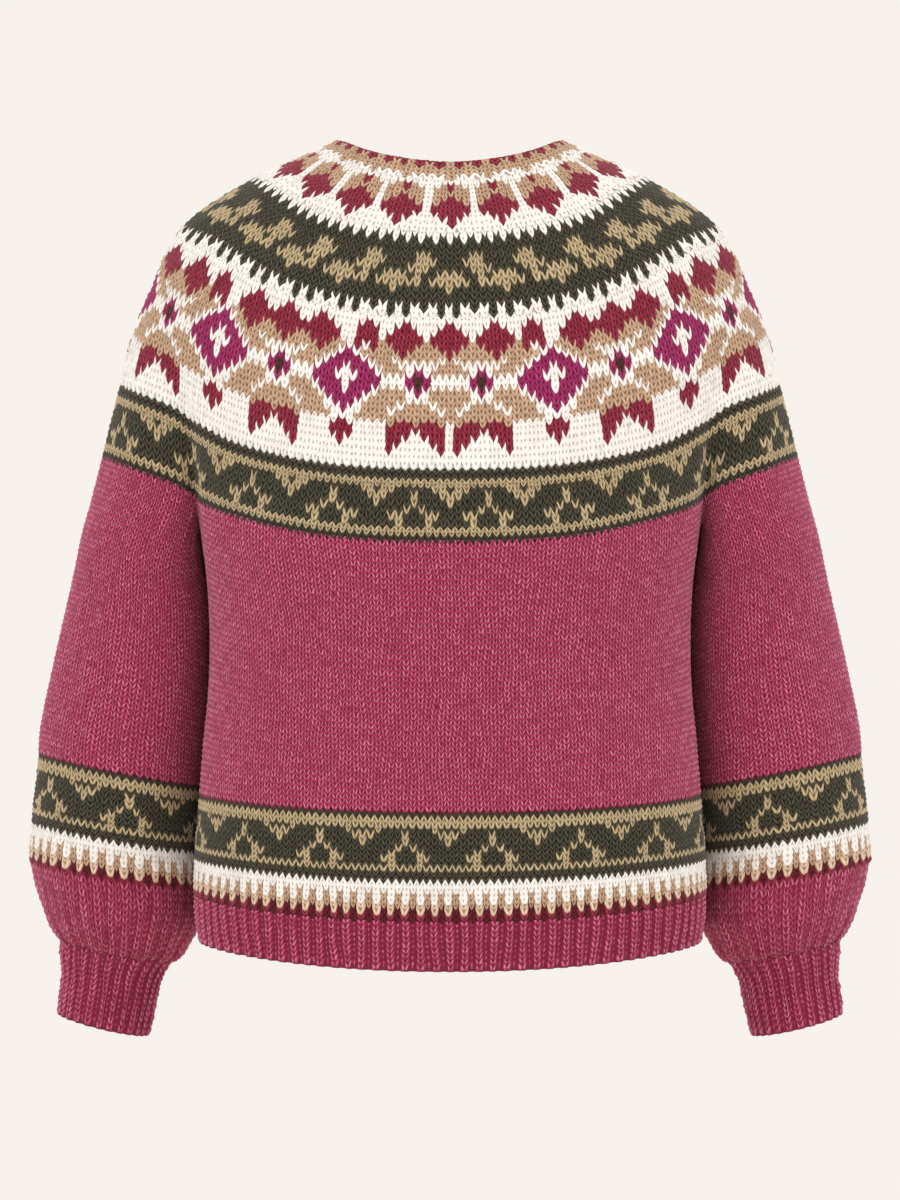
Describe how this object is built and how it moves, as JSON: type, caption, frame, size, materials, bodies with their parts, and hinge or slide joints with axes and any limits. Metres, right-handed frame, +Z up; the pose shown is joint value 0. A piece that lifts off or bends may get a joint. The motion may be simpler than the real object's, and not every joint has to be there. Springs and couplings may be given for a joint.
{
  "type": "fair isle yoke sweater",
  "caption": "Long-sleeved round-yoke pullover with stranded colourwork, balloon sleeves, ribbed hem and ribbed cuffs, filled out as if worn and seen from the back.",
  "frame": {"origin": "middle of the neck opening, level with the highest points of the neck edge", "axes": "+Z up, +Y towards the sweater's front, so that the pictured back faces -Y, and +X to the right as seen from behind"},
  "size_m": [0.639, 0.2664, 0.6778],
  "materials": {
    "yoke_wool": "stranded wool knitting in off-white, olive, tan, burgundy and magenta, matt and slightly hairy",
    "body_wool": "raspberry heather wool in stocking stitch with a patterned band above the hem, matt and slightly hairy",
    "sleeve_wool": "raspberry heather wool in stocking stitch with a patterned band above the cuff, matt and slightly hairy",
    "rib_wool": "raspberry heather wool in knit one, purl one rib, matt and slightly hairy"
  },
  "bodies": {
    "root": {"yoke": "yoke_wool", "body": "body_wool", "sleeve_left": "sleeve_wool", "sleeve_right": "sleeve_wool", "hem_rib": "rib_wool", "cuff_left": "rib_wool", "cuff_right": "rib_wool"}
  },
  "joints": []
}
